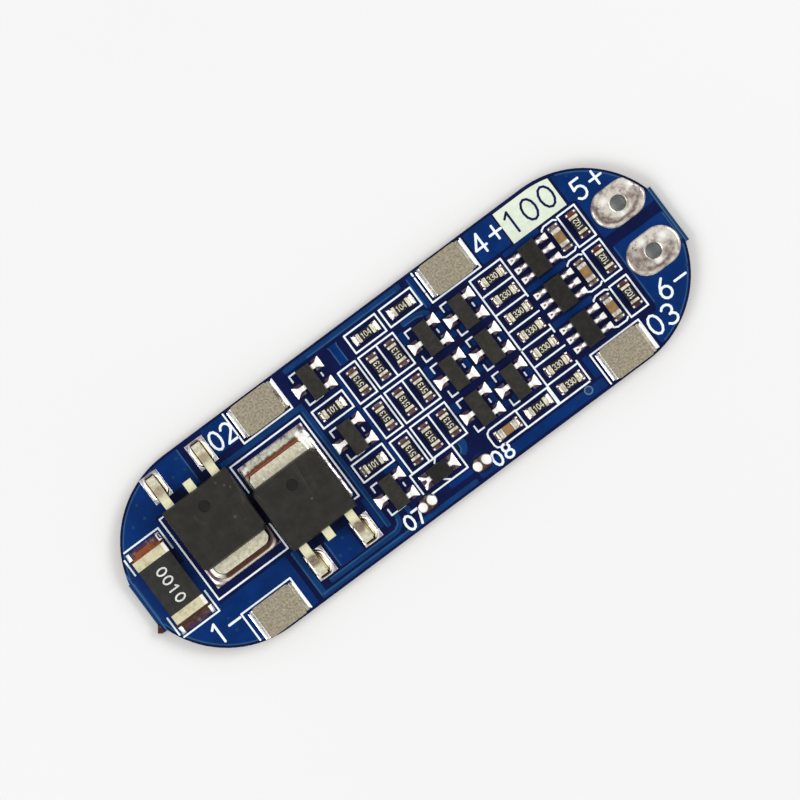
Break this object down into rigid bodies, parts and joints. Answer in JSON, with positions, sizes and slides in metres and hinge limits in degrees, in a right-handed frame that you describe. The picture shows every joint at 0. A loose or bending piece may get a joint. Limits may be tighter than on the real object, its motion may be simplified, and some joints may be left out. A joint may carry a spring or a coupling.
{
  "type": "battery management board",
  "caption": "Long blue circuit board with rounded snapped ends that guards cells in series: power transistors, shunt, small parts, nickel weld tabs and tinned output pads with holes.",
  "frame": {"origin": "centre of the board's underside, midway between its two snapped ends", "axes": "+X along the board towards the output pads, +Z out of the component side"},
  "size_m": [0.0534, 0.0172, 0.0033],
  "materials": {
    "solder_mask": "glossy blue coating over glass-fibre laminate",
    "tinned_copper": "bright uneven tin",
    "solder": "bright solder on copper lands",
    "nickel": "warm matt nickel",
    "moulding": "fine matt black moulding",
    "leadframe": "matt tin plate",
    "resistor_coat": "black glassy coat, tinned ends",
    "shunt_ceramic": "black coat with a plain number",
    "capacitor_ceramic": "tan fired ceramic, tinned ends"
  },
  "bodies": {
    "root": {"capacitor_1": "capacitor_ceramic", "capacitor_2": "capacitor_ceramic", "capacitor_3": "capacitor_ceramic", "capacitor_4": "capacitor_ceramic", "cell_tab_1": "nickel", "cell_tab_2": "nickel", "cell_tab_minus": "nickel", "cell_tab_plus": "nickel", "channel_transistor_1": "moulding", "channel_transistor_2": "moulding", "channel_transistor_3": "moulding", "channel_transistor_4": "moulding", "channel_transistor_5": "moulding", "channel_transistor_6": "moulding", "charge_switch_body": "moulding", "charge_switch_leads": "leadframe", "circuit_board": "solder_mask", "diode": "moulding", "discharge_switch_body": "moulding", "discharge_switch_leads": "leadframe", "driver_transistor_1": "moulding", "driver_transistor_2": "moulding", "driver_transistor_3": "moulding", "negative_output_pad": "tinned_copper", "positive_output_pad": "tinned_copper", "protection_circuit_1_body": "moulding", "protection_circuit_1_leads": "leadframe", "protection_circuit_2_body": "moulding", "protection_circuit_2_leads": "leadframe", "protection_circuit_3_body": "moulding", "protection_circuit_3_leads": "leadframe", "resistor_01": "resistor_coat", "resistor_02": "resistor_coat", "resistor_03": "resistor_coat", "resistor_04": "resistor_coat", "resistor_05": "resistor_coat", "resistor_06": "resistor_coat", "resistor_07": "resistor_coat", "resistor_08": "resistor_coat", "resistor_09": "resistor_coat", "resistor_10": "resistor_coat", "resistor_11": "resistor_coat", "resistor_12": "resistor_coat", "resistor_13": "resistor_coat", "resistor_14": "resistor_coat", "resistor_15": "resistor_coat", "resistor_16": "resistor_coat", "resistor_17": "resistor_coat", "resistor_18": "resistor_coat", "resistor_19": "resistor_coat", "resistor_20": "resistor_coat", "resistor_21": "resistor_coat", "resistor_22": "resistor_coat", "resistor_23": "resistor_coat", "resistor_24": "resistor_coat", "sense_pad_1": "solder", "sense_pad_2": "solder", "shunt_body": "shunt_ceramic", "shunt_terminals": "leadframe", "solder_joints": "solder"}
  },
  "joints": []
}
